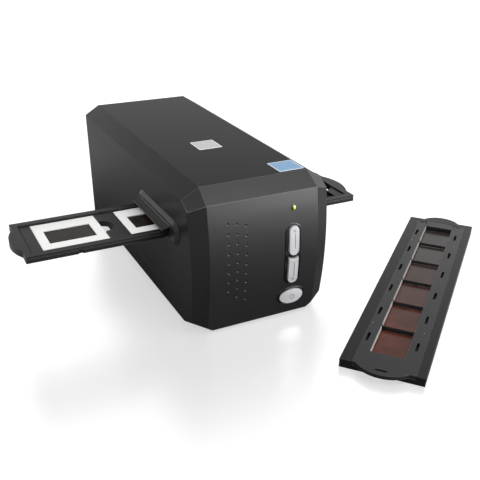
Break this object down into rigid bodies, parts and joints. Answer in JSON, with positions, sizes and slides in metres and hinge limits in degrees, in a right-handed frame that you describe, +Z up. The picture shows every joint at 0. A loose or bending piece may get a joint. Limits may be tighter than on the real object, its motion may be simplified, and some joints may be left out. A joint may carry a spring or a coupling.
{
  "type": "film negative scanner",
  "caption": "Upright film scanner with a bowed front, keys, a mounted-slide holder through side slots, dust flaps, an inner scanning carriage on rods, and a hinged film strip holder beside it",
  "frame": {"origin": "on the desk, below the centre of the case's footprint", "axes": "X to the right of the case seen from its front, Y to its back, Z up"},
  "size_m": [0.4523, 0.3948, 0.1177],
  "materials": {
    "case_black": "fine satin grain, near black",
    "bezel_grey": "satin charcoal",
    "trim_black": "gloss black",
    "hood_grey": "satin dark grey",
    "silver": "bright silver paint",
    "holder_black": "satin black",
    "mount_white": "smooth white",
    "film_dark": "glossy developed film",
    "film_red": "glossy red-brown negative film",
    "lens_lit": "clear yellow-green",
    "label_white": "paper white",
    "label_blue": "printed blue",
    "foot_rubber": "matt rubber",
    "steel": "plain steel",
    "chassis_metal": "folded sheet",
    "board_green": "green solder mask",
    "component_black": "moulded black",
    "bronze": "plain bearing bronze",
    "nylon": "natural nylon",
    "mirror_glass": "front-surface mirror",
    "optic_glass": "clear coated glass",
    "lens_black": "black anodised",
    "lamp_white": "opal white"
  },
  "bodies": {
    "case": {"top_housing": "case_black", "front_bezel": "bezel_grey", "rear_panel": "case_black", "bottom_cover": "case_black", "rubber_feet": "foot_rubber", "case_screws": "steel", "white_label": "label_white", "blue_label": "label_blue", "left_slot_hood": "hood_grey", "right_slot_hood": "hood_grey", "flap_pins": "steel", "key_surround": "trim_black", "power_ring": "trim_black", "status_light": "lens_lit", "front_board": "board_green", "front_switches": "component_black", "main_board": "board_green", "board_parts": "component_black", "usb_port": "steel", "power_jack": "component_black", "chassis_plate": "chassis_metal", "chassis_screws": "steel", "rod_clamps": "component_black", "guide_rods": "steel", "motor_bracket": "chassis_metal", "stepper_motor": "steel", "screw_bearing": "component_black", "home_sensor": "component_black", "holder_guide": "hood_grey", "detent_spring": "steel"},
    "carriage": {"scan_carriage": "component_black", "carriage_bushings": "bronze", "drive_nut": "nylon", "fold_mirror": "mirror_glass", "lens_clamp": "chassis_metal", "lens_barrel": "lens_black", "lens_glass": "optic_glass", "sensor_board": "board_green", "image_sensor": "component_black", "lamp_arm": "component_black", "lamp_board": "lamp_white", "lamp_diffuser": "lamp_white"},
    "screw": {"lead_screw": "steel"},
    "left_flap": {"left_dust_flap": "holder_black"},
    "right_flap": {"right_dust_flap": "holder_black"},
    "upper_button": {"upper_key": "silver"},
    "lower_button": {"lower_key": "silver"},
    "power_button": {"power_key": "silver"},
    "slide_carrier": {"slide_holder": "holder_black", "slide_mounts": "mount_white", "slide_films": "film_dark"},
    "strip_tray": {"strip_base": "holder_black", "film_strip": "film_red", "strip_lid_pins": "steel"},
    "strip_cover": {"strip_lid": "holder_black"}
  },
  "joints": [
    {"name": "slide_holder_slide", "type": "slide", "parent": "case", "child": "slide_carrier", "axis": [-1, 0, 0], "range_m": [-0.24, 0.18]},
    {"name": "left_flap_hinge", "type": "hinge", "parent": "case", "child": "left_flap", "pos_m": [-0.0606, -0.06025, 0.0796], "axis": [0, 1, 0], "range_deg": [0, 38]},
    {"name": "right_flap_hinge", "type": "hinge", "parent": "case", "child": "right_flap", "pos_m": [0.0606, -0.06025, 0.0796], "axis": [0, -1, 0], "range_deg": [0, 38]},
    {"name": "upper_key_press", "type": "slide", "parent": "case", "child": "upper_button", "axis": [0, 1, 0], "range_m": [0, 0.001], "stiffness_N_per_m": 400},
    {"name": "lower_key_press", "type": "slide", "parent": "case", "child": "lower_button", "axis": [0, 1, 0], "range_m": [0, 0.001], "stiffness_N_per_m": 400},
    {"name": "power_key_press", "type": "slide", "parent": "case", "child": "power_button", "axis": [0, 1, 0], "range_m": [0, 0.001], "stiffness_N_per_m": 400},
    {"name": "carriage_slide", "type": "slide", "parent": "case", "child": "carriage", "axis": [0, -1, 0], "range_m": [0, 0.032]},
    {"name": "screw_turn", "type": "hinge", "parent": "case", "child": "screw", "pos_m": [0.0039, 0.062, 0.0225], "axis": [0, 1, 0], "range_deg": [-5, 2885]},
    {"name": "strip_lift", "type": "slide", "parent": "case", "child": "strip_tray", "axis": [0, 0, 1], "range_m": [0, 0.08]},
    {"name": "strip_lid_hinge", "type": "hinge", "parent": "strip_tray", "child": "strip_cover", "pos_m": [0.25064, -0.056, 0.006], "axis": [-0.6508, 0.7593, 0], "range_deg": [0, 100]}
  ],
  "couplings": [
    {"joint": "screw_turn", "follows": "carriage_slide", "rad_per_m": 1570.8}
  ]
}
